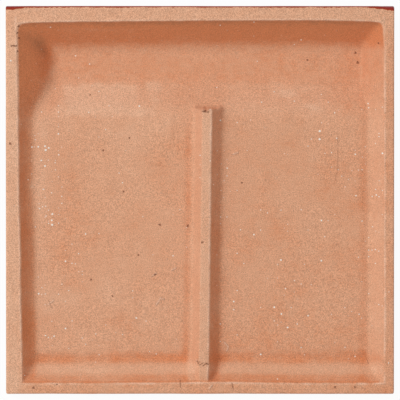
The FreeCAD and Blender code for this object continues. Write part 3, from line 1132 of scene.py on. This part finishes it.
def clay_and_glaze():
    """Porous fired clay, with a glossy deep red glaze where the mesh says it is glazed."""
    material = bpy.data.materials.new("fired_clay")
    nodes = Nodes(material)
    place = nodes.attribute("tile_mm", "Vector")
    flat = flat_place(nodes, place)
    grain = nodes.noise(place, 0.31, 2, 2.0)
    streak = streaks(nodes, place)
    large_specks = spots(nodes, flat, WHITE_SPECKS, 0.25)
    specks = nodes.math("MAXIMUM", small_specks(nodes, place), large_specks)
    pits = dark_marks(nodes, flat)
    raised = nodes.math("MAXIMUM", raised_ridges(nodes, flat), small_lumps(nodes, flat))

    ragged = nodes.math("SUBTRACT", nodes.noise(place, 1.2, 6, 3.0), 0.5)
    depth = nodes.plus(nodes.attribute("glaze_mm"), nodes.times(ragged, 0.9))
    glazed = nodes.ramp(depth, -0.05, 0.05)
    gloss = nodes.times(glazed, nodes.ramp(depth, 0.4, 1.5, 0.1, 1.0))
    clay = clay_colour(nodes, place, grain, streak, specks, pits, raised)
    relief = clay_relief(nodes, place, grain, streak, specks, pits, raised)
    relief = nodes.blend(glazed, relief, glaze_relief(nodes, place))
    surface = nodes.add("ShaderNodeBsdfPrincipled", {
        "Base Color": nodes.mix(glazed, clay, glaze_colour(nodes, place, depth)),
        "Roughness": nodes.blend(gloss, 0.9, 0.4),
        "Specular IOR Level": 0.25,
        "Coat Weight": nodes.times(gloss, 0.6),
        "Coat Roughness": 0.07,
        "Normal": nodes.add("ShaderNodeBump", {"Height": relief, "Distance": MM, "Strength": 1.0}),
    })
    nodes.add("ShaderNodeOutputMaterial", {"Surface": surface})
    return material


# ---------------------------------------------------------------- stage, light and camera

VIEW_WIDTH = 0.1539
CAMERA_DISTANCE = 5.0
CAMERA_REACH = 20
SENSOR = 36.0
LAMP_WIDTH = 1.15
LAMP_POWER = 20.1
LAMP_DISTANCE = 1.9
LAMP_DIRECTION = (-0.7, 0.27, 1.0)
FILL_STRENGTH = 0.52
FLOOR_HALF = 3.0
FLOOR_GREY = (0.8, 0.8, 0.8, 1)
FLOOR_WHITENESS = 0.95
WHITE = (1, 1, 1, 1)


def add_camera():
    """A far camera with a long lens, straight above the tile."""
    camera = bpy.data.cameras.new("camera")
    camera.sensor_width = SENSOR
    camera.lens = SENSOR * CAMERA_DISTANCE / VIEW_WIDTH
    camera.clip_end = CAMERA_REACH
    holder = bpy.data.objects.new("camera", camera)
    holder.location = (0, 0, CAD_BOX[1][2] + CAMERA_DISTANCE)
    bpy.context.scene.collection.objects.link(holder)
    bpy.context.scene.camera = holder


def add_lamp():
    """A round soft lamp, up to the left of the tile."""
    lamp = bpy.data.lights.new("softbox", "AREA")
    lamp.shape = "DISK"
    lamp.size = LAMP_WIDTH
    lamp.energy = LAMP_POWER
    holder = bpy.data.objects.new("softbox", lamp)
    direction = Vector(LAMP_DIRECTION).normalized()
    holder.location = direction * LAMP_DISTANCE
    holder.rotation_euler = direction.to_track_quat("Z", "Y").to_euler()
    bpy.context.scene.collection.objects.link(holder)


def seen_directly(tree):
    """1 for rays from the camera, from a reflection or through glass, which see plain white."""
    path = tree.nodes.new("ShaderNodeLightPath")
    seen = path.outputs["Is Camera Ray"]
    for name in ("Is Glossy Ray", "Is Transmission Ray"):
        either = tree.nodes.new("ShaderNodeMath")
        either.operation = "MAXIMUM"
        tree.links.new(seen, either.inputs[0])
        tree.links.new(path.outputs[name], either.inputs[1])
        seen = either.outputs[0]
    return seen


def add_world():
    """White where it is seen, and a plain soft fill for the tile."""
    world = bpy.data.worlds.new("studio")
    bpy.context.scene.world = world
    world.use_nodes = True
    nodes, links = world.node_tree.nodes, world.node_tree.links
    nodes.clear()
    seen = nodes.new("ShaderNodeBackground")
    seen.inputs["Strength"].default_value = 1.0
    fill = nodes.new("ShaderNodeBackground")
    fill.inputs["Strength"].default_value = FILL_STRENGTH
    mix = nodes.new("ShaderNodeMixShader")
    out = nodes.new("ShaderNodeOutputWorld")
    for background in (seen, fill):
        background.inputs["Color"].default_value = WHITE
    links.new(seen_directly(world.node_tree), mix.inputs["Fac"])
    links.new(fill.outputs[0], mix.inputs[1])
    links.new(seen.outputs[0], mix.inputs[2])
    links.new(mix.outputs[0], out.inputs["Surface"])


def add_floor():
    """A wide white floor that keeps a little of the tile's shadow."""
    mesh = bpy.data.meshes.new("floor")
    corners = ((-1, -1), (1, -1), (1, 1), (-1, 1))
    points = [(x * FLOOR_HALF, y * FLOOR_HALF, 0) for x, y in corners]
    mesh.from_pydata(points, [], [(0, 1, 2, 3)])
    floor = bpy.data.objects.new("floor", mesh)
    bpy.context.scene.collection.objects.link(floor)
    material = bpy.data.materials.new("floor")
    material.use_nodes = True
    nodes, links = material.node_tree.nodes, material.node_tree.links
    nodes.clear()
    white = nodes.new("ShaderNodeEmission")
    white.inputs["Color"].default_value = WHITE
    matt = nodes.new("ShaderNodeBsdfDiffuse")
    matt.inputs["Color"].default_value = FLOOR_GREY
    scale = nodes.new("ShaderNodeMath")
    scale.operation = "MULTIPLY"
    scale.inputs[1].default_value = FLOOR_WHITENESS
    mix = nodes.new("ShaderNodeMixShader")
    out = nodes.new("ShaderNodeOutputMaterial")
    links.new(seen_directly(material.node_tree), scale.inputs[0])
    links.new(scale.outputs[0], mix.inputs["Fac"])
    links.new(matt.outputs[0], mix.inputs[1])
    links.new(white.outputs[0], mix.inputs[2])
    links.new(mix.outputs[0], out.inputs["Surface"])
    mesh.materials.append(material)


tile = build_tile()
tile.data.materials.append(clay_and_glaze())
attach(tile, "root")
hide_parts("tile_body")
add_floor()
add_lamp()
add_world()
add_camera()
bpy.context.scene.view_settings.view_transform = "Standard"
